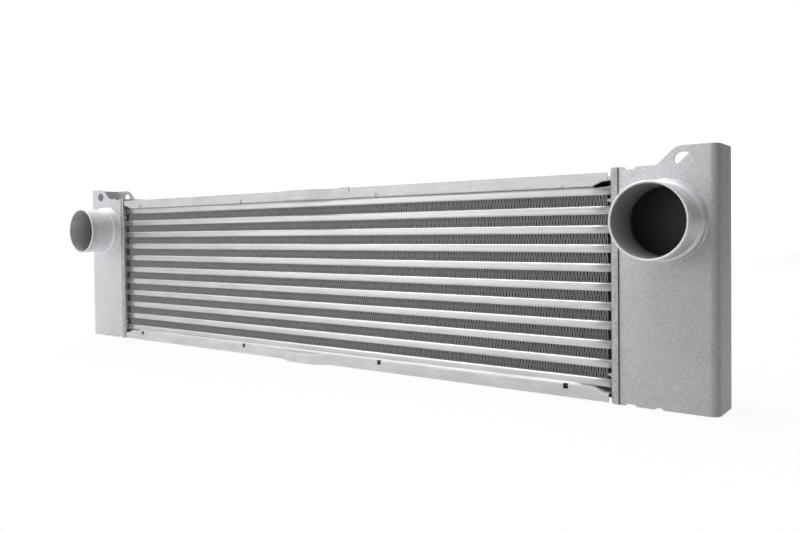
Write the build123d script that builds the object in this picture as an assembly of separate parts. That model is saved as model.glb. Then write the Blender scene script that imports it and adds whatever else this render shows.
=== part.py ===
from build123d import *

import os
from math import radians, tan

# Brazed aluminium charge-air cooler, in millimetres.
# X runs along the core, the hose pipes point to -Y (front), Z is up.
# The origin is the centre of the footprint, at the height of the tanks' lower edges.

# Core of flat tubes and folded fins. The real strip folds about every 3 mm; here wider
# folds in thicker sheet keep its weight.
core_length = 688.6
tube_count = 11
tube_height = 7.4
tube_setback = 3.1
tube_nose = 1.7
tube_wall = 0.8
fin_height = 8.4
fin_waves = 30
fin_sheet = 0.48
fin_setback = 1.4
fin_end_gap = 4.0
core_bottom = 12.0

# Folded strips inside the tubes
inner_fin_waves = 4
inner_fin_sheet = 0.35
inner_fin_margin = 3.0

# Header plates
header_sheet = 1.2
header_bend = 2.4
header_flange = 6.5
header_corner = 3.0
header_end_gap = 0.4
tube_projection = 2.5
nub_reach = 4.0
nub_width = 4.6
nub_setback = 0.9

# Tanks, each folded from one sheet
tank_sheet = 2.0
tank_depth = 43.6
tank_corner = 7.0
tank_seat_gap = 2.4
tank_top_margin = 14.5

# Ears at the top of each tank
ear_rise = 14.0
ear_slope_angle = 43.0
ear_slope_margin = 9.6
ear_crest_radius = 12.0
ear_foot_radius = 7.5
ear_hole_length = 13.4
ear_hole_width = 10.8
ear_hole_side = 12.0
ear_hole_top = 5.1

# Notches in the edges of the tank sheet
top_notch_start = 4.6
top_notch_length = 9.7
top_notch_depth = 2.1
bottom_notch_start = 5.0
bottom_notch_length = 9.1
bottom_notch_depth = 1.7
foot_notch_start = 28.7
foot_notch_length = 6.6
foot_notch_depth = 1.4
notch_taper = 1.1

# End caps
cap_sheet = 2.0
cap_recess = 4.0

# Hose pipes
pipe_length = 39.0
pipe_radius = 29.3
pipe_wall = 1.4
bead_rise = 0.7
bead_length = 4.2
collar_radius = 33.1
collar_length = 7.0
collar_gap_seam = 3.3
collar_gap_cap = 4.8
port_lip = 1.1

# Side plates, each a channel with its flanges pointing away from the core
plate_sheet = 1.2
plate_flange = 11.0
plate_proud = 4.0
plate_bend = 1.0
plate_end_gap = 2.2
end_joggle_rise = 3.8
end_joggle_flat = 4.5
end_joggle_ramp = 9.0
bulge_reach = 9.5
bulge_flat = 37.0
bulge_ramp = 16.5
plate_slot_width = 4.6
plate_slot_height = 4.2
plate_slot_middle = 102.0
plate_slot_end = 37.6
plate_tab_start = 52.5
plate_tab_length = 12.5
plate_tab_rise = 0.8
plate_tab_depth = 5.0
plate_tab_reach = 0.8

# Places worked out from the sizes above
core_height = tube_count * tube_height + (tube_count - 1) * fin_height
core_top = core_bottom + core_height
tube_pitch = tube_height + fin_height
low_edge = core_top + tank_top_margin
ear_top = low_edge + ear_rise

total_depth = pipe_length + tank_depth + header_sheet
mouth_y = -total_depth / 2
front_y = mouth_y + pipe_length
back_y = front_y + tank_depth
middle_y = (front_y + back_y) / 2
tube_depth = tank_depth - 2 * tube_setback
tube_front = middle_y - tube_depth / 2
tube_back = middle_y + tube_depth / 2
plate_front = tube_front - plate_proud
plate_back = tube_back + plate_proud

header_face = core_length / 2
header_back = header_face + header_sheet
seam_x = header_face + header_flange
tank_start = header_face + tank_seat_gap
pipe_x = seam_x + collar_gap_seam + collar_radius
tank_end = pipe_x + collar_radius + tank_corner
cap_top = low_edge - cap_recess
pipe_z = cap_top - cap_sheet - collar_gap_cap - collar_radius
hole_x = tank_end - tank_corner - ear_hole_side - ear_hole_length / 2
hole_z = ear_top - ear_hole_top - ear_hole_width / 2


def front_slab(outline, y_low, y_high):
    """Extrude an outline drawn in X and Z from y_low to y_high."""
    plane = Plane(origin=(0, y_low, 0), x_dir=(1, 0, 0), z_dir=(0, -1, 0))
    return extrude(plane * outline, y_high - y_low, dir=(0, 1, 0))


def plan_slab(outline, z_low, z_high):
    """Extrude an outline drawn in X and Y from z_low to z_high."""
    return extrude(Plane.XY.offset(z_low) * outline, z_high - z_low, dir=(0, 0, 1))


def end_slab(outline, x_low, x_high):
    """Extrude an outline drawn in Y and Z from x_low to x_high."""
    return extrude(Plane.YZ.offset(x_low) * outline, x_high - x_low, dir=(1, 0, 0))


def zigzag(start, pitch, waves, low, high, sheet):
    """Section of a folded strip whose crests touch the lines low and high."""
    slope = (high - low) / (pitch / 2)
    rise = sheet * (1 + slope ** 2) ** 0.5
    places = [start + pitch * half / 2 for half in range(2 * waves + 1)]
    upper = [(p, high if n % 2 else low + rise) for n, p in enumerate(places)]
    lower = [(p, high - rise if n % 2 else low) for n, p in enumerate(places)]
    return Polygon(*upper, *reversed(lower), align=None)


def tube_low(number):
    return core_bottom + number * tube_pitch


def tube_section(shrink, z_middle):
    """Flat tube's section with blunt noses, drawn in Y and Z; shrink takes off a wall."""
    section = Rectangle(tube_depth - 2 * shrink, tube_height - 2 * shrink)
    section = chamfer(section.vertices(), tube_nose - shrink / 2)
    return Pos(middle_y, z_middle) * section


def tube(number):
    z_middle = tube_low(number) + tube_height / 2
    reach = header_back + tube_projection
    section = tube_section(0, z_middle) - tube_section(tube_wall, z_middle)
    return end_slab(section, -reach, reach)


def inner_fin(number):
    low = tube_low(number) + tube_wall
    high = tube_low(number) + tube_height - tube_wall
    start = tube_front + inner_fin_margin
    pitch = (tube_depth - 2 * inner_fin_margin) / inner_fin_waves
    section = zigzag(start, pitch, inner_fin_waves, low, high, inner_fin_sheet)
    return end_slab(section, -header_back, header_back)


def fin_row(number):
    low = tube_low(number) + tube_height
    start = -header_face + fin_end_gap
    pitch = (core_length - 2 * fin_end_gap) / fin_waves
    section = zigzag(start, pitch, fin_waves, low, low + fin_height, fin_sheet)
    return front_slab(section, tube_front + fin_setback, tube_back - fin_setback)


def header_channel():
    """Bent channel that wraps the front and back edges of the tank sheet."""
    header_depth = tank_depth + 2 * header_sheet
    outer = Rectangle(header_flange, header_depth, align=(Align.MIN, Align.CENTER))
    outer = fillet(outer.vertices().sort_by(Axis.X)[:2], header_bend)
    room = Rectangle(header_flange, tank_depth, align=(Align.MIN, Align.CENTER))
    room = fillet(room.vertices().sort_by(Axis.X)[:2], header_bend - header_sheet)
    section = Pos(header_face, middle_y) * (outer - Pos(header_sheet, 0) * room)
    return plan_slab(section, header_end_gap, low_edge)


def header_nub(number):
    """Pointed lug on the header's bent edge, beside one fin row."""
    z = tube_low(number) + tube_height + fin_height / 2
    edge = header_face + header_sheet
    outline = Polygon(
        (header_face - nub_reach, z),
        (edge, z - nub_width / 2),
        (edge, z + nub_width / 2),
        align=None,
    )
    y_low = front_y + nub_setback
    return front_slab(outline, y_low, y_low + header_sheet)


def header_outline():
    """Front view of the header, with rounded corners beside the core."""
    face = Rectangle(
        header_flange, low_edge - header_end_gap, align=(Align.MIN, Align.MIN)
    )
    face = fillet(face.vertices().sort_by(Axis.X)[:2], header_corner)
    return Pos(header_face, header_end_gap) * face


def right_header_plate():
    plate = header_channel()
    plate &= front_slab(header_outline(), front_y - header_sheet, back_y + header_sheet)
    for number in range(tube_count):
        slot = tube_section(0, tube_low(number) + tube_height / 2)
        plate -= end_slab(slot, header_face, header_back)
    return plate + header_nub(0) + header_nub(tube_count - 2)


def notch(start, length, depth, edge_z, inward):
    """Tapered bite in a level edge; inward is +1 for a lower edge, -1 for an upper one."""
    x = seam_x + start
    return Polygon(
        (x, edge_z - inward),
        (x, edge_z),
        (x + notch_taper, edge_z + inward * depth),
        (x + length - notch_taper, edge_z + inward * depth),
        (x + length, edge_z),
        (x + length, edge_z - inward),
        align=None,
    )


def tank_outline():
    """Front view of the tank's walls, with the ear and the notches."""
    run = tan(radians(90 - ear_slope_angle))
    slope_x = hole_x - ear_hole_length / 2 - ear_slope_margin
    foot = (slope_x + (low_edge - hole_z) * run, low_edge)
    crest = (slope_x + (ear_top - hole_z) * run, ear_top)
    edge = FilletPolyline(
        (tank_start, low_edge), foot, crest, (tank_end, ear_top),
        radius=(ear_foot_radius, ear_crest_radius),
    )
    rest = Polyline((tank_end, ear_top), (tank_end, 0), (tank_start, 0), (tank_start, low_edge))
    outline = make_face(edge + rest)
    outline -= notch(top_notch_start, top_notch_length, top_notch_depth, low_edge, -1)
    outline -= notch(bottom_notch_start, bottom_notch_length, bottom_notch_depth, 0, 1)
    outline -= notch(foot_notch_start, foot_notch_length, foot_notch_depth, 0, 1)
    return outline - Pos(hole_x, hole_z) * SlotOverall(ear_hole_length, ear_hole_width)


def tank_plan(shrink):
    """Plan of the folded sheet's outer (0) or inner (sheet) face, open to the header."""
    length = tank_end - shrink - tank_start
    face = Rectangle(length, tank_depth - 2 * shrink, align=(Align.MIN, Align.CENTER))
    face = fillet(face.vertices().sort_by(Axis.X)[-2:], tank_corner - shrink)
    return Pos(tank_start, middle_y) * face


def right_tank():
    tank = plan_slab(tank_plan(0) - tank_plan(tank_sheet), 0, ear_top)
    tank &= front_slab(tank_outline(), front_y, back_y)
    port = Pos(pipe_x, pipe_z) * Circle(pipe_radius - pipe_wall - port_lip)
    return tank - front_slab(port, front_y, front_y + tank_sheet)


def tank_cap(z_low):
    """Flat plate that closes the tank between its walls and the header."""
    reach = Rectangle(
        tank_start - header_back, tank_depth - 2 * tank_sheet, align=(Align.MIN, Align.CENTER)
    )
    plan = tank_plan(tank_sheet) + Pos(header_back, middle_y) * reach
    return plan_slab(plan, z_low, z_low + cap_sheet)


def right_hose_pipe():
    """Turned spigot, drawn in X and Y: collar at its foot, plain land and rolled bead."""
    bore = pipe_radius - pipe_wall
    bead = pipe_radius + bead_rise
    bead_y = mouth_y + bead_length
    shoulder_y = front_y - collar_length
    section = Polygon(
        (bore, mouth_y),
        (pipe_radius, mouth_y),
        (bead, mouth_y + bead_rise),
        (bead, bead_y - bead_rise),
        (pipe_radius, bead_y),
        (pipe_radius, shoulder_y),
        (collar_radius, shoulder_y),
        (collar_radius, front_y),
        (bore, front_y),
        align=None,
    )
    plane = Plane(origin=(0, 0, 0), x_dir=(1, 0, 0), z_dir=(0, 0, 1))
    turned = revolve(plane * section, Axis.Y)
    return Pos(pipe_x, 0, pipe_z) * turned


def plate_line(rise):
    """Upper line of a channel's base, from end to end, at a height above the core."""
    end = header_face - plate_end_gap
    step = end - end_joggle_flat
    foot = step - end_joggle_ramp
    high = rise + end_joggle_rise
    right_half = [(foot, rise), (step, high), (end, high)]
    return [(-x, z) for x, z in reversed(right_half)] + right_half


def bulge_path(y):
    """Plan line of the front flange, with its step towards the front in the middle."""
    end = header_face - plate_end_gap
    half = bulge_flat / 2
    foot = half + bulge_ramp
    crown = y - bulge_reach
    return [(-end, y), (-foot, y), (-half, crown), (half, crown), (foot, y), (end, y)]


def side_channel():
    """Channel standing on z = 0, its flanges pointing up."""
    end = header_face - plate_end_gap
    inside = plate_front + plate_sheet

    base_line = Polygon(*plate_line(0), *reversed(plate_line(plate_sheet)), align=None)
    base = front_slab(base_line, plate_front, plate_back)
    crown = Polygon(*bulge_path(plate_front)[1:5], align=None)
    base += plan_slab(crown, 0, plate_sheet)

    flange_face = Polygon(*plate_line(0), (end, plate_flange), (-end, plate_flange), align=None)
    strip = Polygon(*bulge_path(plate_front), *reversed(bulge_path(inside)), align=None)
    front = plan_slab(strip, 0, plate_flange)
    front &= front_slab(flange_face, plate_front - bulge_reach, inside)
    back = front_slab(flange_face, plate_back - plate_sheet, plate_back)
    plate = bend_edges(base + front + back)

    slots = Sketch() + [
        Pos(side * x, 0) * Rectangle(
            plate_slot_width, plate_slot_height, align=(Align.CENTER, Align.MIN)
        )
        for x in (plate_slot_middle, end - plate_slot_end)
        for side in (-1, 1)
    ]
    return plate - front_slab(slots, plate_front, inside + plate_sheet)


def bend_edges(plate):
    """Round the channel's two long outer edges, ramps and steps included."""
    low = plate_sheet / 2 + end_joggle_rise
    lower = plate.edges().filter_by(lambda e: e.bounding_box().max.Z < low)
    outer = lower.filter_by(
        lambda e: e.bounding_box().max.Y < plate_front + plate_sheet / 2
        or e.bounding_box().min.Y > plate_back - plate_sheet / 2
    )
    return fillet(outer, plate_bend)


def top_side_plate():
    tab_x = plate_tab_start + plate_tab_length / 2
    tab_low = plate_flange - plate_tab_depth
    tab = Pos(tab_x, tab_low) * Rectangle(
        plate_tab_length, plate_tab_depth + plate_tab_rise, align=(Align.CENTER, Align.MIN)
    )
    front = plate_front - plate_tab_reach
    plate = side_channel() + front_slab(tab, front, plate_front + plate_sheet)
    return Pos(0, 0, core_top) * plate


def bottom_side_plate():
    return Pos(0, 0, core_bottom) * mirror(side_channel(), about=Plane.XY)


def both_sides(name, right_part):
    """A right-hand piece and its mirror image on the left."""
    left_part = mirror(right_part, about=Plane.YZ)
    return {f"right_{name}": right_part, f"left_{name}": left_part}


def all_parts():
    parts = {}
    for number in range(tube_count):
        parts[f"tube_{number + 1:02d}"] = tube(number)
        parts[f"inner_fin_{number + 1:02d}"] = inner_fin(number)
    for number in range(tube_count - 1):
        parts[f"fin_row_{number + 1:02d}"] = fin_row(number)
    parts["top_side_plate"] = top_side_plate()
    parts["bottom_side_plate"] = bottom_side_plate()
    parts.update(both_sides("header_plate", right_header_plate()))
    parts.update(both_sides("tank", right_tank()))
    parts.update(both_sides("tank_top_cap", tank_cap(cap_top - cap_sheet)))
    parts.update(both_sides("tank_bottom_cap", tank_cap(cap_recess)))
    parts.update(both_sides("hose_pipe", right_hose_pipe()))
    return parts


os.makedirs("parts", exist_ok=True)
for name, part in all_parts().items():
    export_step(part, f"parts/{name}.step")
print(f"wrote {len(os.listdir('parts'))} sub-parts")
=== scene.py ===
from math import cos, pi, radians, sin

import bmesh
import bpy
from mathutils import Matrix, Vector


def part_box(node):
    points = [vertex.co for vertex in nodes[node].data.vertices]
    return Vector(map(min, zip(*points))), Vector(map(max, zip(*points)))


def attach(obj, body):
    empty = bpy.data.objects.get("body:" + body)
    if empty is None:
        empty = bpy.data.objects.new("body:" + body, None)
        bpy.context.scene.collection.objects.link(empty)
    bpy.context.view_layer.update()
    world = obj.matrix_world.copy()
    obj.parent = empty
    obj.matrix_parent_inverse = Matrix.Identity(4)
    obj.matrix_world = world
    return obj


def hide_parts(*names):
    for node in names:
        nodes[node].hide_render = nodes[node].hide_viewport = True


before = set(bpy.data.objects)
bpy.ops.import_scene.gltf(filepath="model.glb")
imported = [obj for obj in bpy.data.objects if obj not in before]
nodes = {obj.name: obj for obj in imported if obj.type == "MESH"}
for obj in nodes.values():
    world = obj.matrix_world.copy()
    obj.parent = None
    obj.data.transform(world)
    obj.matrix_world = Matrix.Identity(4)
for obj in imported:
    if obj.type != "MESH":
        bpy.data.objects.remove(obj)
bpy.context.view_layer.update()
mm = 0.001
print("frame loaded with", len(nodes), "nodes")


def toLinear(hexColour):
    parts = [int(hexColour[n:n + 2], 16) / 255 for n in (1, 3, 5)]
    return [p / 12.92 if p <= 0.04045 else ((p + 0.055) / 1.055) ** 2.4 for p in parts] + [1.0]


def addNode(tree, kind, inputs=None, **settings):
    # inputs maps a socket's name or number to a value, or to the output that feeds it
    node = tree.nodes.new(kind)
    for name, value in settings.items():
        setattr(node, name, value)
    for key, value in (inputs or {}).items():
        if isinstance(value, bpy.types.NodeSocket):
            tree.links.new(value, node.inputs[key])
        else:
            node.inputs[key].default_value = value
    return node


def perMetre(sizes):
    # pattern scale on Object coordinates for features of these sizes in millimetres
    return [1000 / size for size in sizes]


# Patterns of the metals: detail of the noise, and the heights of noise or wave between
# which the tone, the roughness and the louvre slits go from none to full
patternValues = {
    "stainDetail": 3.0, "grainDetail": 2.0, "noiseRoughness": 0.6,
    "toneStart": 0.36, "toneFull": 0.64, "stainStart": 0.34, "stainFull": 0.66,
    "slitStart": 0.1, "slitFull": 0.8,
}


def makeMetal(values, paintedLightWhere=None):
    # stains, grain and grit tint the metal, and the grain also dents it; the optional mask
    # function builds a mask from the place, 1 where the metal has its colour of painted light or
    # shade instead
    p = patternValues
    material = bpy.data.materials.new(values["name"])
    material.use_nodes = True
    tree = material.node_tree
    tree.nodes.clear()
    place = addNode(tree, "ShaderNodeTexCoord").outputs["Object"]
    stainSpace = addNode(tree, "ShaderNodeMapping", {
        "Vector": place, "Scale": perMetre(values["stainSize"])})
    stain = addNode(tree, "ShaderNodeTexNoise", {
        "Vector": stainSpace.outputs[0], "Scale": 1.0, "Detail": p["stainDetail"],
        "Roughness": p["noiseRoughness"]})
    grainSpace = addNode(tree, "ShaderNodeMapping", {
        "Vector": place, "Scale": perMetre(values["grainSize"])})
    grain = addNode(tree, "ShaderNodeTexNoise", {
        "Vector": grainSpace.outputs[0], "Scale": 1.0, "Detail": p["grainDetail"],
        "Roughness": p["noiseRoughness"]})
    blend = addNode(tree, "ShaderNodeMix", {
        0: values["grainShare"], 2: stain.outputs["Fac"], 3: grain.outputs["Fac"]})
    if "gritSize" in values:
        crumbs = addNode(tree, "ShaderNodeTexVoronoi", {
            "Vector": place, "Scale": 1000 / values["gritSize"]})
        shades = addNode(tree, "ShaderNodeSeparateColor", {"Color": crumbs.outputs["Color"]})
        blend = addNode(tree, "ShaderNodeMix", {
            0: values["gritShare"], 2: blend.outputs[0], 3: shades.outputs[0]})
    tone = addNode(tree, "ShaderNodeMapRange", {
        "Value": blend.outputs[0], "From Min": p["toneStart"], "From Max": p["toneFull"]})
    colour = addNode(tree, "ShaderNodeMix", {
        0: tone.outputs[0], 6: toLinear(values["dark"]), 7: toLinear(values["light"])},
        data_type="RGBA").outputs[2]
    rough = addNode(tree, "ShaderNodeMapRange", {
        "Value": stain.outputs["Fac"], "From Min": p["stainStart"], "From Max": p["stainFull"],
        "To Min": values["roughLow"], "To Max": values["roughHigh"]})
    height = grain.outputs["Fac"]
    if "slitPitch" in values:
        depth = addNode(tree, "ShaderNodeSeparateXYZ", {"Vector": place}).outputs["Y"]
        turn = addNode(tree, "ShaderNodeMath", {
            0: depth, 1: 2 * pi * 1000 / values["slitPitch"]}, operation="MULTIPLY")
        wave = addNode(tree, "ShaderNodeMath", {0: turn.outputs[0]}, operation="SINE")
        slit = addNode(tree, "ShaderNodeMapRange", {
            "Value": wave.outputs[0], "From Min": p["slitStart"], "From Max": p["slitFull"]})
        colour = addNode(tree, "ShaderNodeMix", {
            0: slit.outputs[0], 6: colour, 7: toLinear(values["slit"])},
            data_type="RGBA").outputs[2]
        height = addNode(tree, "ShaderNodeMath", {
            0: height, 1: slit.outputs[0]}, operation="SUBTRACT").outputs[0]
    if paintedLightWhere:
        colour = addNode(tree, "ShaderNodeMix", {
            0: paintedLightWhere(tree, place), 6: colour, 7: toLinear(values["paintedLight"])},
            data_type="RGBA").outputs[2]
    bump = addNode(tree, "ShaderNodeBump", {
        "Strength": values["bumpStrength"], "Distance": values["bumpDepth"] * mm,
        "Height": height})
    surface = addNode(tree, "ShaderNodeBsdfPrincipled", {
        "Base Color": colour, "Metallic": values["metallic"],
        "Roughness": rough.outputs[0], "Normal": bump.outputs[0]})
    addNode(tree, "ShaderNodeOutputMaterial", {"Surface": surface.outputs[0]})
    return material


def newPiece(name, mesh, material, slot, *replaced):
    piece = bpy.data.objects.new(name, mesh)
    bpy.context.scene.collection.objects.link(piece)
    mesh.materials.clear()
    mesh.materials.append(material)
    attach(piece, "root")
    if replaced:
        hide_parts(*replaced)
    return piece


def smoothByAngle(mesh, degrees):
    mesh.shade_smooth()
    mesh.set_sharp_from_angle(angle=radians(degrees))


def makeTree(name, sizes):
    # Geometry Nodes tree with a named input for each size
    tree = bpy.data.node_groups.new(name, "GeometryNodeTree")
    tree.interface.new_socket("Geometry", in_out="OUTPUT", socket_type="NodeSocketGeometry")
    for label, value in sizes.items():
        kind = "NodeSocketInt" if isinstance(value, int) else "NodeSocketFloat"
        tree.interface.new_socket(label, in_out="INPUT", socket_type=kind)
    return tree, tree.nodes.new("NodeGroupInput").outputs


def growMesh(tree, sizes):
    # evaluates the tree with these sizes and returns its result as a plain mesh
    host = bpy.data.objects.new("host", bpy.data.meshes.new("host"))
    bpy.context.scene.collection.objects.link(host)
    modifier = host.modifiers.new("grow", "NODES")
    modifier.node_group = tree
    for item in tree.interface.items_tree:
        if item.in_out == "INPUT":
            modifier[item.identifier] = sizes[item.name]
    bpy.context.view_layer.update()
    graph = bpy.context.evaluated_depsgraph_get()
    mesh = bpy.data.meshes.new_from_object(host.evaluated_get(graph))
    host.modifiers.clear()
    bpy.data.objects.remove(host)
    return mesh


# Flat tubes with rounded noses, each bowed a little. A painted highlight runs along each
# crest, and the braze has a painted highlight as well where it stands out further than brightFoot.
tubeValues = {
    "noseRadius": 1.7, "noseSteps": 5, "wall": 0.8, "lengthSteps": 30,
    "bow": 0.12, "bowLength": 90.0, "seed": 11, "sharpAngle": 40,
    "brightBand": 0.9, "brightFade": 0.6, "brightFoot": 0.3,
}


# painted highlight: a mask of the band along each tube's crest and of the braze's front foot
def paintedCrestHighlight(tree, place):
    low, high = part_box("tube_01")
    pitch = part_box("tube_02")[0].z - low.z
    gap = pitch - (high.z - low.z)
    parts = addNode(tree, "ShaderNodeSeparateXYZ", {"Vector": place}).outputs
    up = addNode(tree, "ShaderNodeMath", {
        0: parts["Z"], 1: low.z - gap / 2}, operation="SUBTRACT")
    row = addNode(tree, "ShaderNodeMath", {
        0: up.outputs[0], 1: pitch}, operation="FLOORED_MODULO")
    full = pitch - gap / 2 - tubeValues["brightBand"] * mm
    crest = addNode(tree, "ShaderNodeMapRange", {
        "Value": row.outputs[0], "From Min": full - tubeValues["brightFade"] * mm,
        "From Max": full})
    foot = addNode(tree, "ShaderNodeMath", {
        0: parts["Y"], 1: low.y - tubeValues["brightFoot"] * mm}, operation="LESS_THAN")
    return addNode(tree, "ShaderNodeMath", {
        0: crest.outputs[0], 1: foot.outputs[0]}, operation="MAXIMUM").outputs[0]


# Tubes: extruded flat tube with bright lengthwise rolling streaks and a painted highlight
# along its crests. Real rolling lines are finer than a pixel, so the streaks are drawn 0.9 mm
# wide.
tubeMetal = makeMetal({
    "name": "rolledTubeAluminium", "metallic": 1.0, "paintedLight": "#EFEFEF",
    "dark": "#B2B3B4", "light": "#D0D1D2", "stainSize": (45, 12, 12),
    "grainSize": (160, 0.9, 0.9), "grainShare": 0.55,
    "roughLow": 0.35, "roughHigh": 0.45, "bumpStrength": 0.35, "bumpDepth": 0.03,
}, paintedCrestHighlight)


def tubeTree(sizes, material):
    tree, given = makeTree("flatTube", sizes)
    half = addNode(tree, "ShaderNodeMath", {0: given["Length"], 1: 0.5}, operation="MULTIPLY")
    less = addNode(tree, "ShaderNodeMath", {0: given["Length"], 1: -0.5}, operation="MULTIPLY")
    start = addNode(tree, "ShaderNodeCombineXYZ", {
        "X": less.outputs[0], "Y": given["Middle Y"], "Z": given["Middle Z"]})
    end = addNode(tree, "ShaderNodeCombineXYZ", {
        "X": half.outputs[0], "Y": given["Middle Y"], "Z": given["Middle Z"]})
    line = addNode(tree, "GeometryNodeCurvePrimitiveLine", {
        "Start": start.outputs[0], "End": end.outputs[0]})
    steps = addNode(tree, "GeometryNodeResampleCurve", {
        "Curve": line.outputs[0], "Count": given["Length Steps"]})
    place = addNode(tree, "GeometryNodeInputPosition")
    waves = addNode(tree, "ShaderNodeVectorMath", {
        0: place.outputs[0], 3: given["Bow Waves"]}, operation="SCALE")
    noise = addNode(tree, "ShaderNodeTexNoise", {
        "Vector": waves.outputs[0], "W": given["Seed"], "Scale": 1.0, "Detail": 1.0},
        noise_dimensions="4D")
    centred = addNode(tree, "ShaderNodeVectorMath", {
        0: noise.outputs["Color"], 1: (0.5, 0.5, 0.5)}, operation="SUBTRACT")
    sized = addNode(tree, "ShaderNodeVectorMath", {
        0: centred.outputs[0], 3: given["Bow"]}, operation="SCALE")
    flat = addNode(tree, "ShaderNodeVectorMath", {
        0: sized.outputs[0], 1: (0.0, 1.0, 1.0)}, operation="MULTIPLY")
    bowed = addNode(tree, "GeometryNodeSetPosition", {
        "Geometry": steps.outputs[0], "Offset": flat.outputs[0]})
    upright = addNode(tree, "GeometryNodeSetCurveNormal", {
        "Curve": bowed.outputs[0], "Normal": (0.0, 0.0, 1.0)}, mode="FREE")
    section = addNode(tree, "GeometryNodeCurvePrimitiveQuadrilateral", {
        "Width": given["Height"], "Height": given["Depth"]})
    nosed = addNode(tree, "GeometryNodeFilletCurve", {
        "Curve": section.outputs[0], "Count": given["Nose Steps"],
        "Radius": given["Nose Radius"]}, mode="POLY")
    skin = addNode(tree, "GeometryNodeCurveToMesh", {
        "Curve": upright.outputs[0], "Profile Curve": nosed.outputs[0]})
    real = addNode(tree, "GeometryNodeRealizeInstances", {0: skin.outputs[0]})
    done = addNode(tree, "GeometryNodeSetMaterial", {
        "Geometry": real.outputs[0], "Material": material})
    addNode(tree, "NodeGroupOutput", {0: done.outputs[0]})
    return tree


def makeTubes():
    names = sorted(name for name in nodes if name.startswith("tube_"))
    tree = None
    for number, name in enumerate(names):
        low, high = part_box(name)
        sizes = {
            "Length": high.x - low.x, "Depth": high.y - low.y, "Height": high.z - low.z,
            "Middle Y": (low.y + high.y) / 2, "Middle Z": (low.z + high.z) / 2,
            "Nose Radius": tubeValues["noseRadius"] * mm,
            "Nose Steps": tubeValues["noseSteps"], "Length Steps": tubeValues["lengthSteps"],
            "Bow": tubeValues["bow"] * mm, "Bow Waves": 1000 / tubeValues["bowLength"],
            "Seed": float(tubeValues["seed"] + number),
        }
        tree = tree or tubeTree(sizes, tubeMetal)
        mesh = growMesh(tree, sizes)
        smoothByAngle(mesh, tubeValues["sharpAngle"])
        piece = newPiece("flat_" + name, mesh, tubeMetal, "tube_sheet", name)
        wall = piece.modifiers.new("wall", "SOLIDIFY")
        wall.thickness = tubeValues["wall"] * mm
        wall.offset = -1
    print("tubes made:", len(names))


# Folded fins between the tubes: upright legs joined by round crests, with painted shade
# deep between the core's faces and in the open end of each fold
finValues = {
    "waves": 227, "sheet": 0.34, "crestRadius": 0.5, "crestSteps": 3,
    "lean": 0.3, "foldScatter": 0.13, "seed": 3, "sharpAngle": 50,
    "brightEdge": 0.8, "darkFade": 1.4, "endStart": 0.15, "endFull": 0.55,
}


# painted shade: a mask that darkens the fins deep between their faces and in the open ends of the
# folds, but not near the cut edges
def finShade(tree, place):
    v = finValues
    low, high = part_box("fin_row_01")
    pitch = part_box("fin_row_02")[0].z - low.z
    wave = (high.x - low.x) / v["waves"]
    parts = addNode(tree, "ShaderNodeSeparateXYZ", {"Vector": place}).outputs
    across = addNode(tree, "ShaderNodeMath", {
        0: parts["Y"], 1: (low.y + high.y) / 2}, operation="SUBTRACT")
    off = addNode(tree, "ShaderNodeMath", {0: across.outputs[0]}, operation="ABSOLUTE")
    edge = (high.y - low.y) / 2 - v["brightEdge"] * mm
    deep = addNode(tree, "ShaderNodeMapRange", {
        "Value": off.outputs[0], "From Min": edge, "From Max": edge - v["darkFade"] * mm})
    # height within the row from -1 to 1, and the side of the fold that a leg is on
    up = addNode(tree, "ShaderNodeMath", {
        0: parts["Z"], 1: (low.z + high.z) / 2 - pitch / 2}, operation="SUBTRACT")
    row = addNode(tree, "ShaderNodeMath", {
        0: up.outputs[0], 1: pitch}, operation="FLOORED_MODULO")
    height = addNode(tree, "ShaderNodeMapRange", {
        "Value": row.outputs[0], "From Min": (pitch - high.z + low.z) / 2,
        "From Max": (pitch + high.z - low.z) / 2, "To Min": -1.0})
    along = addNode(tree, "ShaderNodeMath", {
        0: parts["X"], 1: low.x + wave / 2}, operation="SUBTRACT")
    turn = addNode(tree, "ShaderNodeMath", {
        0: along.outputs[0], 1: 2 * pi / wave}, operation="MULTIPLY")
    side = addNode(tree, "ShaderNodeMath", {0: turn.outputs[0]}, operation="SINE")
    towardsEnd = addNode(tree, "ShaderNodeMath", {
        0: side.outputs[0], 1: height.outputs[0]}, operation="MULTIPLY")
    openEnd = addNode(tree, "ShaderNodeMapRange", {
        "Value": towardsEnd.outputs[0], "From Min": v["endStart"], "From Max": v["endFull"]})
    both = addNode(tree, "ShaderNodeMath", {
        0: deep.outputs[0], 1: openEnd.outputs[0]}, operation="ADD")
    inside = addNode(tree, "ShaderNodeMath", {0: off.outputs[0], 1: edge}, operation="LESS_THAN")
    return addNode(tree, "ShaderNodeMath", {
        0: both.outputs[0], 1: inside.outputs[0]}, operation="MULTIPLY",
        use_clamp=True).outputs[0]


# Fins: thin rolled strip, cut with louvre slits across its depth, with painted shade except near
# its cut edges.
finMetal = makeMetal({
    "name": "louvredStripAluminium", "metallic": 0.6,
    "dark": "#D6D7D9", "light": "#EFF0F2", "paintedLight": "#3C3C3D", "stainSize": (9, 9, 9),
    "grainSize": (2.0, 2.0, 2.0), "grainShare": 0.5,
    "roughLow": 0.42, "roughHigh": 0.6, "bumpStrength": 0.5, "bumpDepth": 0.06,
    "slitPitch": 1.3, "slit": "#AEAEAD",
}, finShade)


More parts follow.
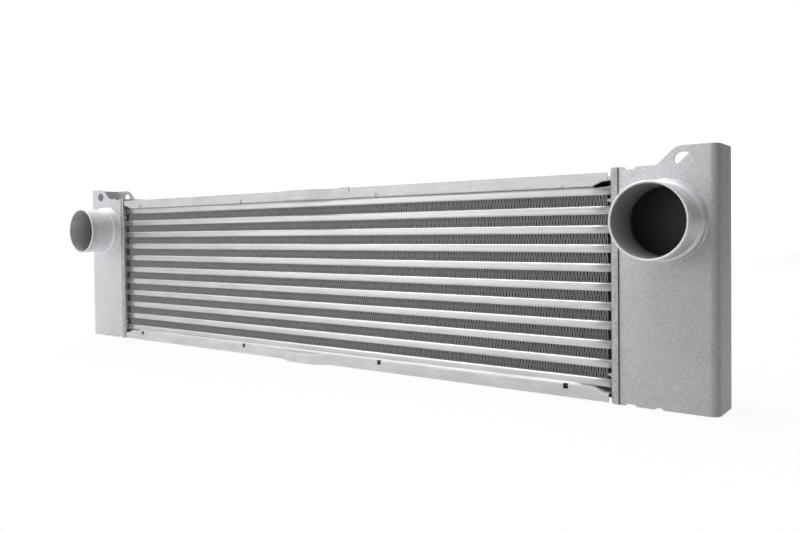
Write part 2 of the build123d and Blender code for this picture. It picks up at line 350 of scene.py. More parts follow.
def finTree(sizes, material):
    tree, given = makeTree("foldedFin", sizes)
    corners = addNode(tree, "GeometryNodeMeshLine", {
        "Count": given["Corners"], "Offset": (0.0, 0.0, 0.0)})
    index = addNode(tree, "GeometryNodeInputIndex").outputs[0]

    # corners come in fours: low, high, high, low; each pair from an even one shares a leg
    pair = addNode(tree, "ShaderNodeMath", {0: index, 1: 0.5}, operation="MULTIPLY")
    leg = addNode(tree, "ShaderNodeMath", {0: pair.outputs[0]}, operation="FLOOR")
    crest = addNode(tree, "ShaderNodeMath", {0: pair.outputs[0]}, operation="ROUND")
    turn = addNode(tree, "ShaderNodeMath", {0: crest.outputs[0], 1: 2.0}, operation="MODULO")
    side = addNode(tree, "ShaderNodeMath", {0: turn.outputs[0], 1: 0.5}, operation="SUBTRACT")
    rise = addNode(tree, "ShaderNodeMath", {
        0: side.outputs[0], 1: given["Rise"]}, operation="MULTIPLY")
    even = addNode(tree, "ShaderNodeMath", {0: index, 1: 2.0}, operation="MODULO")
    lean = addNode(tree, "ShaderNodeMath", {
        0: even.outputs[0], 1: 0.5}, operation="SUBTRACT")

    least = addNode(tree, "ShaderNodeMath", {
        0: given["Fold Scatter"], 1: -1.0}, operation="MULTIPLY")
    scatter = addNode(tree, "FunctionNodeRandomValue", {
        2: least.outputs[0], 3: given["Fold Scatter"], 7: leg.outputs[0], 8: given["Seed"]})
    along = addNode(tree, "ShaderNodeMath", {
        0: leg.outputs[0], 1: given["Half Wave"], 2: given["Start X"]}, operation="MULTIPLY_ADD")
    leant = addNode(tree, "ShaderNodeMath", {
        0: lean.outputs[0], 1: given["Lean"], 2: along.outputs[0]}, operation="MULTIPLY_ADD")
    placed = addNode(tree, "ShaderNodeMath", {
        0: leant.outputs[0], 1: scatter.outputs[1]}, operation="ADD")
    height = addNode(tree, "ShaderNodeMath", {
        0: rise.outputs[0], 1: given["Middle Z"]}, operation="ADD")
    corner = addNode(tree, "ShaderNodeCombineXYZ", {
        "X": placed.outputs[0], "Y": given["Middle Y"], "Z": height.outputs[0]})
    folded = addNode(tree, "GeometryNodeSetPosition", {
        "Geometry": corners.outputs[0], "Position": corner.outputs[0]})
    line = addNode(tree, "GeometryNodeMeshToCurve", {"Mesh": folded.outputs[0]})
    crests = addNode(tree, "GeometryNodeFilletCurve", {
        "Curve": line.outputs[0], "Count": given["Crest Steps"],
        "Radius": given["Crest Radius"], "Limit Radius": True}, mode="POLY")
    across = addNode(tree, "GeometryNodeSetCurveNormal", {
        "Curve": crests.outputs[0], "Normal": (0.0, 1.0, 0.0)}, mode="FREE")
    section = addNode(tree, "GeometryNodeCurvePrimitiveQuadrilateral", {
        "Width": given["Depth"], "Height": given["Sheet"]})
    strip = addNode(tree, "GeometryNodeCurveToMesh", {
        "Curve": across.outputs[0], "Profile Curve": section.outputs[0], "Fill Caps": True})
    real = addNode(tree, "GeometryNodeRealizeInstances", {0: strip.outputs[0]})
    done = addNode(tree, "GeometryNodeSetMaterial", {
        "Geometry": real.outputs[0], "Material": material})
    addNode(tree, "NodeGroupOutput", {0: done.outputs[0]})
    return tree


def makeFins():
    v = finValues
    names = sorted(name for name in nodes if name.startswith("fin_row_"))
    tree = None
    for number, name in enumerate(names):
        low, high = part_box(name)
        halfWave = (high.x - low.x) / (2 * v["waves"])
        sizes = {
            "Start X": low.x + halfWave / 2, "Middle Y": (low.y + high.y) / 2,
            "Middle Z": (low.z + high.z) / 2, "Depth": high.y - low.y,
            "Half Wave": halfWave, "Corners": 4 * v["waves"],
            "Rise": high.z - low.z - v["sheet"] * mm, "Lean": v["lean"] * mm,
            "Crest Radius": v["crestRadius"] * mm, "Crest Steps": v["crestSteps"],
            "Sheet": v["sheet"] * mm, "Fold Scatter": v["foldScatter"] * mm,
            "Seed": v["seed"] + number,
        }
        tree = tree or finTree(sizes, finMetal)
        mesh = growMesh(tree, sizes)
        smoothByAngle(mesh, v["sharpAngle"])
        newPiece("folded_" + name, mesh, finMetal, "fin_strip", name)
    print("fin rows made:", len(names))


# Hose pipes, spun from one section: a rim and a rolled bead at the mouth, a plain land, and
# a shoulder that flares to the foot. Inside the bore's radius and behind its rim the bore is
# painted darker, as painted shade.
pipeValues = {
    "bore": 27.9, "radius": 29.3, "rimSteps": 10, "rimDepth": 0.9,
    "beadRise": 0.7, "beadLength": 4.2, "beadSteps": 8,
    "grooveRise": 0.6, "grooveFront": 0.6, "grooveBack": 1.2, "grooveEnd": 2.4,
    "shoulderRadius": 31.6, "shoulderFromWall": 7.0, "shoulderRoll": 2.2, "rollSteps": 5,
    "collarRise": 0.25, "collarLength": 0.5,
    "footFillet": 1.2, "footStart": 1.6, "footBendIn": 0.62, "footBendUp": 0.7,
    "spinSteps": 120, "mergeGap": 0.01, "sharpAngle": 35,
    "shadedBoreRadius": 28.6, "brightRim": 1.6,
}


# painted shade: a mask of the bore behind the rim
def pipeShade(tree, place):
    v = pipeValues
    low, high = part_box("right_hose_pipe")
    axis = Vector(((low.x + high.x) / 2, 0, (low.z + high.z) / 2))
    parts = addNode(tree, "ShaderNodeSeparateXYZ", {"Vector": place}).outputs
    outward = addNode(tree, "ShaderNodeMath", {0: parts["X"]}, operation="ABSOLUTE")
    point = addNode(tree, "ShaderNodeCombineXYZ", {"X": outward.outputs[0], "Z": parts["Z"]})
    across = addNode(tree, "ShaderNodeVectorMath", {
        0: point.outputs[0], 1: axis}, operation="SUBTRACT")
    reach = addNode(tree, "ShaderNodeVectorMath", {0: across.outputs[0]}, operation="LENGTH")
    within = addNode(tree, "ShaderNodeMath", {
        0: reach.outputs["Value"], 1: v["shadedBoreRadius"] * mm}, operation="LESS_THAN")
    behind = addNode(tree, "ShaderNodeMath", {
        0: parts["Y"], 1: low.y + v["brightRim"] * mm}, operation="GREATER_THAN")
    return addNode(tree, "ShaderNodeMath", {
        0: within.outputs[0], 1: behind.outputs[0]}, operation="MULTIPLY").outputs[0]


# Hose pipes: drawn tube, turned at its ends, with lines round it, and painted shade in the bore.
# The lines are about 0.1 mm apart on the real one and are drawn at 0.5 mm so that they show.
pipeMetal = makeMetal({
    "name": "drawnTubeAluminium", "metallic": 0.5, "paintedLight": "#C6C7C9",
    "dark": "#D7D8DB", "light": "#F4F5F8", "stainSize": (40, 8, 40),
    "grainSize": (60, 0.5, 60), "grainShare": 0.5,
    "roughLow": 0.46, "roughHigh": 0.56, "bumpStrength": 0.3, "bumpDepth": 0.02,
    "gritSize": 1.6, "gritShare": 0.1,
}, pipeShade)


def arc(centre, radius, first, last, steps):
    # points on an arc in the section's own plane, angles in degrees
    return [
        (centre[0] + radius * cos(radians(first + (last - first) * n / steps)),
         centre[1] + radius * sin(radians(first + (last - first) * n / steps)))
        for n in range(steps + 1)
    ]


def pipeSection(mouth, foot, footRadius):
    # points (radius, y) in millimetres, from the bore's mouth round the outside and back
    v = pipeValues
    shoulder = foot - v["shoulderFromWall"]
    crown = v["radius"] + v["beadRise"]
    beadMiddle = mouth + v["beadLength"] / 2
    lip = (crown - v["bore"]) / 2
    rim = arc((v["bore"] + lip, mouth + lip), lip, 180, 360, v["rimSteps"])
    bead = [
        (v["radius"] + v["beadRise"] * (1 + cos(pi * n / v["beadSteps"])) / 2,
         mouth + lip + (v["beadLength"] - lip) * n / v["beadSteps"])
        for n in range(1, v["beadSteps"] + 1)
    ]
    rollStart = shoulder - v["shoulderRoll"]
    land = [(v["radius"], rollStart)]
    step = v["shoulderRadius"] - v["radius"]
    shares = [n / v["rollSteps"] for n in range(1, v["rollSteps"])]
    roll = [(v["radius"] + step * t * t * (3 - 2 * t), rollStart + v["shoulderRoll"] * t)
            for t in shares]
    collar = [(v["shoulderRadius"], shoulder),
              (v["shoulderRadius"] + v["collarRise"], shoulder + v["collarLength"])]
    fillet = v["footFillet"]
    flare = [(footRadius - fillet, foot - fillet * v["footStart"]),
             (footRadius - fillet * v["footBendIn"], foot - fillet * v["footBendUp"]),
             (footRadius, foot)]
    groove = v["bore"] + v["grooveRise"]
    inside = [(v["bore"], foot), (v["bore"], beadMiddle + v["grooveEnd"]),
              (groove, beadMiddle + v["grooveBack"]), (groove, beadMiddle - v["grooveFront"]),
              (v["bore"], mouth + v["rimDepth"])]
    return rim + bead + land + roll + collar + flare + inside


def makePipe(side):
    v = pipeValues
    name = side + "_hose_pipe"
    low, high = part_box(name)
    middle = Vector(((low.x + high.x) / 2, 0, (low.z + high.z) / 2))
    section = pipeSection(low.y / mm, high.y / mm, (high.x - low.x) / 2 / mm)
    shape = bmesh.new()
    ring = [shape.verts.new(Vector((r * mm, y * mm, 0)) + middle) for r, y in section]
    edges = [shape.edges.new((a, b)) for a, b in zip(ring, ring[1:] + ring[:1])]
    bmesh.ops.spin(
        shape, geom=ring + edges, cent=middle, axis=(0, 1, 0), angle=2 * pi,
        steps=v["spinSteps"], use_duplicate=False, use_merge=True)
    bmesh.ops.remove_doubles(shape, verts=shape.verts, dist=v["mergeGap"] * mm)
    bmesh.ops.recalc_face_normals(shape, faces=shape.faces)
    mesh = bpy.data.meshes.new(name)
    shape.to_mesh(mesh)
    shape.free()
    smoothByAngle(mesh, v["sharpAngle"])
    newPiece("turned_" + name, mesh, pipeMetal, "hose_pipe", name)


# Painted shade on the tanks: on their inner faces, in their ports, and in part in the
# crevice beside the header's flange, where the colour is painted dark
tankValues = {
    "sheet": 1.9, "corner": 0.4, "portRadius": 27.9,
    "creviceStart": 0.1, "creviceEnd": 1.1, "creviceShare": 0.8,
}


def tankShade(tree, place):
    low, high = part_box("right_tank")
    pipeLow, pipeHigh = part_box("right_hose_pipe")
    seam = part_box("right_header_plate")[1].x
    sheet = tankValues["sheet"] * mm
    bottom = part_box("right_tank_bottom_cap")[0].z
    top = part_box("right_tank_top_cap")[1].z
    roomLow = Vector((low.x, low.y + sheet, bottom))
    roomHigh = Vector((high.x - sheet, high.y - sheet, top))

    parts = addNode(tree, "ShaderNodeSeparateXYZ", {"Vector": place}).outputs
    outward = addNode(tree, "ShaderNodeMath", {0: parts["X"]}, operation="ABSOLUTE")
    point = addNode(tree, "ShaderNodeCombineXYZ", {
        "X": outward.outputs[0], "Y": parts["Y"], "Z": parts["Z"]}).outputs[0]
    away = addNode(tree, "ShaderNodeVectorMath", {
        0: point, 1: (roomLow + roomHigh) / 2}, operation="SUBTRACT")
    size = addNode(tree, "ShaderNodeVectorMath", {0: away.outputs[0]}, operation="ABSOLUTE")
    spare = addNode(tree, "ShaderNodeVectorMath", {
        0: (roomHigh - roomLow) / 2, 1: size.outputs[0]}, operation="SUBTRACT")
    axes = addNode(tree, "ShaderNodeSeparateXYZ", {"Vector": spare.outputs[0]}).outputs
    # the sum keeps the room's square corners inside the sheet's round ones
    corner = addNode(tree, "ShaderNodeMath", {0: axes["X"], 1: axes["Y"]}, operation="ADD")
    inCorner = addNode(tree, "ShaderNodeMath", {
        0: corner.outputs[0], 1: tankValues["corner"] * mm}, operation="GREATER_THAN")
    least = addNode(tree, "ShaderNodeMath", {0: axes["X"], 1: axes["Y"]}, operation="MINIMUM")
    lowest = addNode(tree, "ShaderNodeMath", {
        0: least.outputs[0], 1: axes["Z"]}, operation="MINIMUM")
    within = addNode(tree, "ShaderNodeMath", {
        0: lowest.outputs[0], 1: 0.0}, operation="GREATER_THAN")
    room = addNode(tree, "ShaderNodeMath", {
        0: within.outputs[0], 1: inCorner.outputs[0]}, operation="MULTIPLY")

    axis = Vector(((pipeLow.x + pipeHigh.x) / 2, 0, (pipeLow.z + pipeHigh.z) / 2))
    across = addNode(tree, "ShaderNodeVectorMath", {
        0: point, 1: (1.0, 0.0, 1.0), 2: -axis}, operation="MULTIPLY_ADD")
    reach = addNode(tree, "ShaderNodeVectorMath", {0: across.outputs[0]}, operation="LENGTH")
    inLine = addNode(tree, "ShaderNodeMath", {
        0: reach.outputs["Value"], 1: tankValues["portRadius"] * mm}, operation="LESS_THAN")
    before = addNode(tree, "ShaderNodeMath", {
        0: parts["Y"], 1: roomHigh.y}, operation="LESS_THAN")
    port = addNode(tree, "ShaderNodeMath", {
        0: inLine.outputs[0], 1: before.outputs[0]}, operation="MULTIPLY")
    crevice = addNode(tree, "ShaderNodeMapRange", {
        "Value": outward.outputs[0], "From Min": seam + tankValues["creviceEnd"] * mm,
        "From Max": seam + tankValues["creviceStart"] * mm,
        "To Max": tankValues["creviceShare"]})
    both = addNode(tree, "ShaderNodeMath", {
        0: room.outputs[0], 1: port.outputs[0]}, operation="MAXIMUM")
    return addNode(tree, "ShaderNodeMath", {
        0: both.outputs[0], 1: crevice.outputs[0]}, operation="MAXIMUM").outputs[0]


# Tank sheet: aluminium blasted with fine grit, so matt and finely mottled, and painted darker
# as painted shade on its inner faces, in its ports and beside the header's flange. The grit is
# about 0.3 mm and is drawn at 1.0 mm so that it shows.
tankMetal = makeMetal({
    "name": "blastedAluminium", "metallic": 0.1,
    "dark": "#CFCFD2", "light": "#E7E7EB", "stainSize": (70, 70, 70),
    "grainSize": (1.6, 1.6, 1.6), "grainShare": 0.4, "gritSize": 1.0, "gritShare": 0.28,
    "roughLow": 0.46, "roughHigh": 0.54, "bumpStrength": 0.4, "bumpDepth": 0.05,
    "paintedLight": "#5C5C5C",
}, tankShade)


# Depth of the header flange's sheared edge, painted dark as painted shade where it meets the tank
headerValues = {"edgeDepth": 0.25}


def headerShade(tree, place):
    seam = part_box("right_header_plate")[1].x - headerValues["edgeDepth"] * mm
    along = addNode(tree, "ShaderNodeSeparateXYZ", {"Vector": place}).outputs["X"]
    outward = addNode(tree, "ShaderNodeMath", {0: along}, operation="ABSOLUTE")
    return addNode(tree, "ShaderNodeMath", {
        0: outward.outputs[0], 1: seam}, operation="GREATER_THAN").outputs[0]


# Header plates: pressed clad sheet, mottled where the cladding melted, with painted shade on the
# flange's edge at the tank.
headerMetal = makeMetal({
    "name": "cladSheetAluminium", "metallic": 0.8,
    "dark": "#98989A", "light": "#BEBEC0", "paintedLight": "#5A5A5C", "stainSize": (5, 5, 9),
    "grainSize": (1.6, 1.6, 1.6), "grainShare": 0.5, "gritSize": 1.8, "gritShare": 0.15,
    "roughLow": 0.36, "roughHigh": 0.52, "bumpStrength": 0.5, "bumpDepth": 0.08,
}, headerShade)


# Painted shade on the side plates: under the raised ends of the top one, and on what shows
# through the slots of the bottom one, the cut edge of its base and its back flange.
# The front flange stays bright, because it lies more than "front" before the tubes.
plateValues = {
    "rampStart": 13.5, "rampLength": 9.0, "rise": 3.8, "skin": 0.25, "front": 2.7,
    "slotMiddle": 102.0, "slotFromEnd": 37.6, "slotHalf": 2.5, "slotBack": 1.4,
    "flangeStart": 20.0, "flangeSkin": 1.1, "flangeDrop": 1.3,
}


def plateShade(tree, place):
    v = plateValues
    low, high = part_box("top_side_plate")
    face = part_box("tube_11")[0].y
    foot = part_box("tube_01")[0].z
    parts = addNode(tree, "ShaderNodeSeparateXYZ", {"Vector": place}).outputs
    outward = addNode(tree, "ShaderNodeMath", {0: parts["X"]}, operation="ABSOLUTE")

    start = high.x - v["rampStart"] * mm
    ramp = addNode(tree, "ShaderNodeMapRange", {
        "Value": outward.outputs[0], "From Min": start,
        "From Max": start + v["rampLength"] * mm, "To Min": low.z + v["skin"] * mm,
        "To Max": low.z + (v["rise"] + v["skin"]) * mm})
    underRamp = addNode(tree, "ShaderNodeMath", {
        0: parts["Z"], 1: ramp.outputs[0]}, operation="LESS_THAN")
    atTop = addNode(tree, "ShaderNodeMath", {
        0: parts["Z"], 1: low.z - v["skin"] * mm}, operation="GREATER_THAN")
    atEnd = addNode(tree, "ShaderNodeMath", {
        0: outward.outputs[0], 1: start}, operation="GREATER_THAN")
    beneath = addNode(tree, "ShaderNodeMath", {
        0: underRamp.outputs[0], 1: atTop.outputs[0]}, operation="MULTIPLY")
    raised = addNode(tree, "ShaderNodeMath", {
        0: beneath.outputs[0], 1: atEnd.outputs[0]}, operation="MULTIPLY")

    asides = []
    for middle in (v["slotMiddle"] * mm, high.x - v["slotFromEnd"] * mm):
        off = addNode(tree, "ShaderNodeMath", {
            0: outward.outputs[0], 1: middle}, operation="SUBTRACT")
        asides.append(addNode(tree, "ShaderNodeMath", {0: off.outputs[0]}, operation="ABSOLUTE"))
    aside = addNode(tree, "ShaderNodeMath", {
        0: asides[0].outputs[0], 1: asides[1].outputs[0]}, operation="MINIMUM")
    inLine = addNode(tree, "ShaderNodeMath", {
        0: aside.outputs[0], 1: v["slotHalf"] * mm}, operation="LESS_THAN")
    atFoot = addNode(tree, "ShaderNodeMath", {
        0: parts["Z"], 1: foot + v["skin"] * mm}, operation="LESS_THAN")
    before = addNode(tree, "ShaderNodeMath", {
        0: parts["Y"], 1: face - v["slotBack"] * mm}, operation="LESS_THAN")
    edge = addNode(tree, "ShaderNodeMath", {
        0: inLine.outputs[0], 1: atFoot.outputs[0]}, operation="MULTIPLY")
    slot = addNode(tree, "ShaderNodeMath", {
        0: edge.outputs[0], 1: before.outputs[0]}, operation="MULTIPLY")

    beyond = addNode(tree, "ShaderNodeMath", {
        0: parts["Y"], 1: face + v["flangeStart"] * mm}, operation="GREATER_THAN")
    withinSkin = addNode(tree, "ShaderNodeMath", {
        0: parts["Y"], 1: high.y - v["flangeSkin"] * mm}, operation="LESS_THAN")
    hanging = addNode(tree, "ShaderNodeMath", {
        0: parts["Z"], 1: foot - v["flangeDrop"] * mm}, operation="LESS_THAN")
    backHalf = addNode(tree, "ShaderNodeMath", {
        0: beyond.outputs[0], 1: withinSkin.outputs[0]}, operation="MULTIPLY")
    flange = addNode(tree, "ShaderNodeMath", {
        0: backHalf.outputs[0], 1: hanging.outputs[0]}, operation="MULTIPLY")

    either = addNode(tree, "ShaderNodeMath", {
        0: raised.outputs[0], 1: slot.outputs[0]}, operation="MAXIMUM")
    dark = addNode(tree, "ShaderNodeMath", {
        0: either.outputs[0], 1: flange.outputs[0]}, operation="MAXIMUM")
    inside = addNode(tree, "ShaderNodeMath", {
        0: parts["Y"], 1: face - v["front"] * mm}, operation="GREATER_THAN")
    return addNode(tree, "ShaderNodeMath", {
        0: dark.outputs[0], 1: inside.outputs[0]}, operation="MULTIPLY").outputs[0]


# Side plates: satin rolled sheet with stains from the brazing furnace, and painted shade in
# the places listed above. Its rolling lines are drawn coarser than real ones, 0.8 mm wide, so that
# they show.
plateMetal = makeMetal({
    "name": "satinSheetAluminium", "metallic": 0.4, "paintedLight": "#2C2C2C",
    "dark": "#CBCBC9", "light": "#E2E2E0", "stainSize": (28, 14, 14),
    "grainSize": (60, 0.8, 0.8), "grainShare": 0.35,
    "roughLow": 0.46, "roughHigh": 0.58, "bumpStrength": 0.3, "bumpDepth": 0.04,
}, plateShade)


# Pressed and folded sheet pieces keep the CAD shape and get rounded sheet edges. Flat
# facets are joined first.
formingValues = {
    "mergeGap": 0.002, "flatAngle": 0.3, "sharpAngle": 30, "edgeAngle": 35, "edgeSteps": 2,
}
sheetValues = {
    "left_tank": {"metal": tankMetal, "slot": "tank_sheet", "edge": 0.45},
    "right_tank": {"metal": tankMetal, "slot": "tank_sheet", "edge": 0.45},
    "left_header_plate": {"metal": headerMetal, "slot": "header_sheet", "edge": 0.3},
    "right_header_plate": {"metal": headerMetal, "slot": "header_sheet", "edge": 0.3},
    "top_side_plate": {"metal": plateMetal, "slot": "plate_sheet", "edge": 0.3},
    "bottom_side_plate": {"metal": plateMetal, "slot": "plate_sheet", "edge": 0.3},
}


def makeSheetPiece(name, metal, slot, edge):
    v = formingValues
    shape = bmesh.new()
    shape.from_mesh(nodes[name].data)
    bmesh.ops.remove_doubles(shape, verts=shape.verts, dist=v["mergeGap"] * mm)
    bmesh.ops.dissolve_limit(
        shape, angle_limit=radians(v["flatAngle"]), verts=shape.verts, edges=shape.edges)
    mesh = bpy.data.meshes.new(name)
    shape.to_mesh(mesh)
    shape.free()
    smoothByAngle(mesh, v["sharpAngle"])
    piece = newPiece("formed_" + name, mesh, metal, slot, name)
    softEdge = piece.modifiers.new("softEdge", "BEVEL")
    softEdge.width = edge * mm
    softEdge.segments = v["edgeSteps"]
    softEdge.limit_method = "ANGLE"
    softEdge.angle_limit = radians(v["edgeAngle"])
    softEdge.harden_normals = True


# Braze that fills the groove between the lowest tube and the bottom side plate: each
# station has its distance from the middle and how full the section is there
brazeValues = {
    "foot": -1.2, "top": 2.2, "edge": 0.1, "back": 1.5,
    "stations": ((-327.0, 0.1), (-312.0, 1.0), (312.0, 1.0), (327.0, 0.1)),
}


def makeBraze():
    v = brazeValues
    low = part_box("tube_01")[0]
    section = ((v["foot"], 0.0), (v["edge"], v["top"]), (v["back"], 0.0))
    shape = bmesh.new()
    rings = [
        [shape.verts.new((x * mm, low.y + (v["back"] + (y - v["back"]) * share) * mm,
                          low.z + z * share * mm)) for y, z in section]
        for x, share in v["stations"]
    ]
    shape.faces.new(rings[0])
    shape.faces.new(rings[-1][::-1])
    for ring, following in zip(rings, rings[1:]):
        for n in range(len(section)):
            m = (n + 1) % len(section)
            shape.faces.new((following[m], following[n], ring[n], ring[m]))
    bmesh.ops.recalc_face_normals(shape, faces=shape.faces)
    mesh = bpy.data.meshes.new("brazed_seam")
    shape.to_mesh(mesh)
    shape.free()
    newPiece("brazed_seam", mesh, tubeMetal, "tube_sheet")


# End caps of the tanks: the same sheet before blasting, pressed and dull.
capMetal = makeMetal({
    "name": "pressedAluminium", "metallic": 0.92,
    "dark": "#A0A1A4", "light": "#B8B9BC", "stainSize": (30, 30, 30),
    "grainSize": (1.5, 1.5, 1.5), "grainShare": 0.35,
    "roughLow": 0.4, "roughHigh": 0.55, "bumpStrength": 0.3, "bumpDepth": 0.04,
})


# Turbulators inside the tubes: the same strip without slits.
stripMetal = makeMetal({
    "name": "plainStripAluminium", "metallic": 0.85,
    "dark": "#8C8D8D", "light": "#A5A6A6", "stainSize": (20, 20, 20),
    "grainSize": (40, 1.0, 1.0), "grainShare": 0.5,
    "roughLow": 0.45, "roughHigh": 0.6, "bumpStrength": 0.3, "bumpDepth": 0.03,
})


def dressNode(name, metal):
    nodes[name].data.materials.clear()
    nodes[name].data.materials.append(metal)


makeTubes()
makeFins()
for side in ("left", "right"):
    makePipe(side)
print("hose pipes made")
for name, values in sheetValues.items():
    makeSheetPiece(name, **values)
makeBraze()
print("sheet pieces made")
for name in nodes:
    if name.endswith("_cap"):
        dressNode(name, capMetal)
    if name.startswith("inner_fin_"):
        dressNode(name, stripMetal)
print("caps and turbulators dressed")


# Studio: a white backdrop behind the object, a soft ceiling, a narrow strip above that
# lights the tubes' crests, a bright box at the front left that the tubes mirror, and weak
# boxes at the front, left and back right. Each has the direction it is seen in, the cosines
# where it starts and is full, and its strength.
studioValues = {
    "ambient": 0.05,
    "boxes": {
        "backdrop": {"way": (-0.8, 0.6, 0.0), "start": 0.25, "full": 0.7, "strength": 1.0},
        "ceiling": {"way": (0.0, 0.0, 1.0), "start": 0.25, "full": 0.95, "strength": 0.6},
        "crestStrip": {"way": (-0.42, -0.1, 0.9), "start": 0.91, "full": 0.99, "strength": 4.5},
        "frontLeft": {"way": (-0.4, -0.92, 0.0), "start": 0.7, "full": 1.0, "strength": 1.0},
        "front": {"way": (-0.1, -1.0, 0.0), "start": 0.7, "full": 1.0, "strength": 0.12},
        "left": {"way": (-0.87, -0.5, 0.0), "start": 0.55, "full": 1.0, "strength": 0.18},
        "backRight": {"way": (0.5, 0.87, 0.0), "start": 0.86, "full": 1.0, "strength": 0.25},
    },
}


def studioLevel(tree, way):
    # brightness of the studio in a direction; the floor's far part and the sky share it
    towards = addNode(tree, "ShaderNodeVectorMath", {0: way}, operation="NORMALIZE").outputs[0]
    level = studioValues["ambient"]
    for box in studioValues["boxes"].values():
        nearness = addNode(tree, "ShaderNodeVectorMath", {
            0: towards, 1: Vector(box["way"]).normalized()}, operation="DOT_PRODUCT")
        share = addNode(tree, "ShaderNodeMapRange", {
            "Value": nearness.outputs["Value"], "From Min": box["start"],
            "From Max": box["full"], "To Max": box["strength"]},
            interpolation_type="SMOOTHSTEP")
        level = addNode(tree, "ShaderNodeMath", {
            0: share.outputs[0], 1: level}, operation="ADD").outputs[0]
    return level


def makeSky():
    world = bpy.data.worlds.new("softStudio")
    world.use_nodes = True
    tree = world.node_tree
    tree.nodes.clear()
    way = addNode(tree, "ShaderNodeTexCoord").outputs["Generated"]
    sky = addNode(tree, "ShaderNodeBackground", {
        "Color": (1, 1, 1, 1), "Strength": studioLevel(tree, way)})
    addNode(tree, "ShaderNodeOutputWorld", {"Surface": sky.outputs[0]})
    bpy.context.scene.world = world


# Pale floor that keeps the object's shadow and runs into the sky further out. It has a dark
# strip painted under the object as a painted shadow, and the light that it throws back is weaker
# on the right. The floor's and the lamps' sizes and places are in metres, and all others in
# millimetres.
floorValues = {
    "radius": 30.0, "sides": 64, "nearRadius": 2.0, "farRadius": 4.0, "nearGlow": 0.92,
    "darkMiddle": (0.0, 0.033, 0.0), "darkHalf": (0.4, 0.01, 0.0), "darkFade": 0.009,
    "colour": "#FAFAFA", "paintedShadowColour": "#585858",
    "leftBounce": "#D6D6D6", "rightBounce": "#484848", "bounceStart": 0.1, "bounceEnd": 0.45,
}


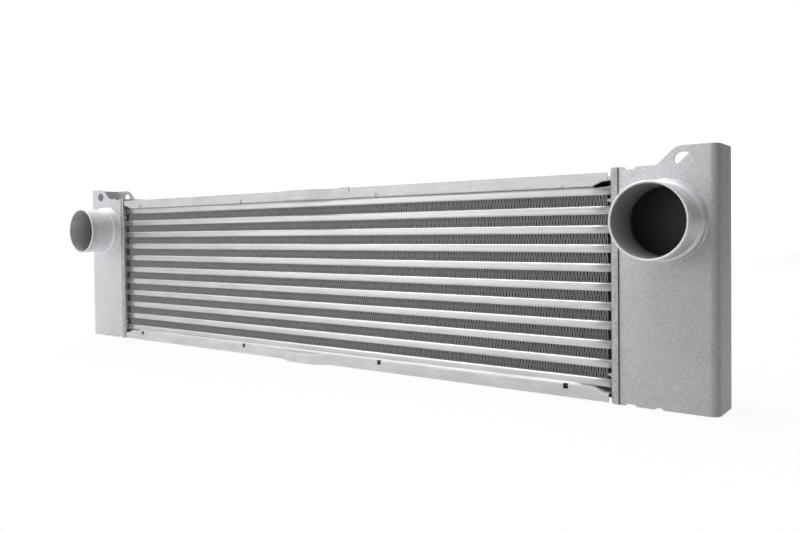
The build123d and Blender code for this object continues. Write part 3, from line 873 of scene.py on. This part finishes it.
def makeFloor():
    material = bpy.data.materials.new("studioFloor")
    material.use_nodes = True
    tree = material.node_tree
    tree.nodes.clear()
    place = addNode(tree, "ShaderNodeTexCoord").outputs["Object"]
    away = addNode(tree, "ShaderNodeVectorMath", {0: place}, operation="LENGTH")
    far = addNode(tree, "ShaderNodeMapRange", {
        "Value": away.outputs["Value"], "From Min": floorValues["nearRadius"],
        "From Max": floorValues["farRadius"]}, interpolation_type="SMOOTHSTEP")
    # under the object the floor is painted dark, a painted shadow, and has no glow, so the shadow
    # there stays deep
    fromMiddle = addNode(tree, "ShaderNodeVectorMath", {
        0: place, 1: floorValues["darkMiddle"]}, operation="SUBTRACT")
    reach = addNode(tree, "ShaderNodeVectorMath", {0: fromMiddle.outputs[0]}, operation="ABSOLUTE")
    past = addNode(tree, "ShaderNodeVectorMath", {
        0: reach.outputs[0], 1: floorValues["darkHalf"]}, operation="SUBTRACT")
    beyond = addNode(tree, "ShaderNodeVectorMath", {
        0: past.outputs[0], 1: (0.0, 0.0, 0.0)}, operation="MAXIMUM")
    gap = addNode(tree, "ShaderNodeVectorMath", {0: beyond.outputs[0]}, operation="LENGTH")
    near = addNode(tree, "ShaderNodeMapRange", {
        "Value": gap.outputs["Value"], "From Max": floorValues["darkFade"],
        "To Max": floorValues["nearGlow"]}, interpolation_type="SMOOTHSTEP")
    glowShare = addNode(tree, "ShaderNodeMath", {
        0: far.outputs[0], 1: near.outputs[0]}, operation="MAXIMUM")
    rays = addNode(tree, "ShaderNodeLightPath")
    seen = addNode(tree, "ShaderNodeMath", {
        0: rays.outputs["Is Camera Ray"], 1: rays.outputs["Is Glossy Ray"]}, operation="MAXIMUM")
    shown = addNode(tree, "ShaderNodeMath", {
        0: seen.outputs[0], 1: rays.outputs["Is Transmission Ray"]}, operation="MAXIMUM")
    share = addNode(tree, "ShaderNodeMath", {
        0: glowShare.outputs[0], 1: shown.outputs[0]}, operation="MULTIPLY")
    along = addNode(tree, "ShaderNodeSeparateXYZ", {"Vector": place}).outputs["X"]
    right = addNode(tree, "ShaderNodeMapRange", {
        "Value": along, "From Min": floorValues["bounceStart"],
        "From Max": floorValues["bounceEnd"]})
    bounce = addNode(tree, "ShaderNodeMix", {
        0: right.outputs[0], 6: toLinear(floorValues["leftBounce"]),
        7: toLinear(floorValues["rightBounce"])}, data_type="RGBA").outputs[2]
    pale = addNode(tree, "ShaderNodeMix", {
        0: near.outputs[0], 6: toLinear(floorValues["paintedShadowColour"]),
        7: toLinear(floorValues["colour"])}, data_type="RGBA").outputs[2]
    colour = addNode(tree, "ShaderNodeMix", {
        0: shown.outputs[0], 6: bounce, 7: pale}, data_type="RGBA").outputs[2]
    paint = addNode(tree, "ShaderNodeBsdfDiffuse", {"Color": colour})
    level = addNode(tree, "ShaderNodeMix", {
        0: far.outputs[0], 2: 1.0, 3: studioLevel(tree, place)})
    glow = addNode(tree, "ShaderNodeEmission", {
        "Color": (1, 1, 1, 1), "Strength": level.outputs[0]})
    both = addNode(tree, "ShaderNodeMixShader", {
        0: share.outputs[0], 1: paint.outputs[0], 2: glow.outputs[0]})
    addNode(tree, "ShaderNodeOutputMaterial", {"Surface": both.outputs[0]})
    shape = bmesh.new()
    bmesh.ops.create_circle(
        shape, cap_ends=True, segments=floorValues["sides"],
        radius=floorValues["radius"])
    mesh = bpy.data.meshes.new("floor")
    shape.to_mesh(mesh)
    shape.free()
    mesh.materials.append(material)
    floor = bpy.data.objects.new("floor", mesh)
    bpy.context.scene.collection.objects.link(floor)


# Small lamps close to the object: above the right tank's inner side, before the left tank,
# and low before the left half of the core
lampValues = {
    "rightLamp": {"place": (0.33, -0.14, 0.38), "size": 0.15, "power": 0.19},
    "leftLamp": {"place": (-0.5, -0.7, 0.45), "size": 0.3, "power": 0.25},
    "lowLamp": {"place": (-0.45, -0.75, 0.05), "size": 0.7, "power": 1.0},
}


def makeLamps():
    for name, values in lampValues.items():
        light = bpy.data.lights.new(name, "AREA")
        light.shape = "DISK"
        light.size = values["size"]
        light.energy = values["power"]
        lamp = bpy.data.objects.new(name, light)
        lamp.location = values["place"]
        lamp.visible_camera = False
        lamp.rotation_euler = (-Vector(values["place"])).to_track_quat("-Z", "Y").to_euler()
        bpy.context.scene.collection.objects.link(lamp)


# Camera, from outlines measured in the photograph; its frame is 800 by 533 pixels
cameraValues = {
    "place": (569.95, -583.70, 142.45), "focalPixels": 739.08,
    "yaw": 37.13, "pitch": -1.197, "roll": -0.665, "centre": (400.15, 246.77),
    "frame": (800, 533), "sensor": 36.0, "clipStart": 10.0,
}


def makeCamera():
    v = cameraValues
    wide, tall = v["frame"]
    data = bpy.data.cameras.new("photoCamera")
    data.sensor_width = v["sensor"]
    data.lens = v["focalPixels"] / wide * v["sensor"]
    data.shift_x = (wide / 2 - v["centre"][0]) / wide
    data.shift_y = (v["centre"][1] - tall / 2) / wide
    data.clip_start = v["clipStart"] * mm
    camera = bpy.data.objects.new("photoCamera", data)
    turn = Matrix.Rotation(radians(v["yaw"]), 4, "Z")
    nod = Matrix.Rotation(radians(90 + v["pitch"]), 4, "X")
    tilt = Matrix.Rotation(radians(v["roll"]), 4, "Z")
    camera.matrix_world = Matrix.Translation(Vector(v["place"]) * mm) @ turn @ nod @ tilt
    bpy.context.scene.collection.objects.link(camera)
    bpy.context.scene.camera = camera


makeFloor()
makeSky()
makeLamps()
makeCamera()
bpy.context.scene.view_settings.view_transform = "Standard"
print("floor, lights and camera set")
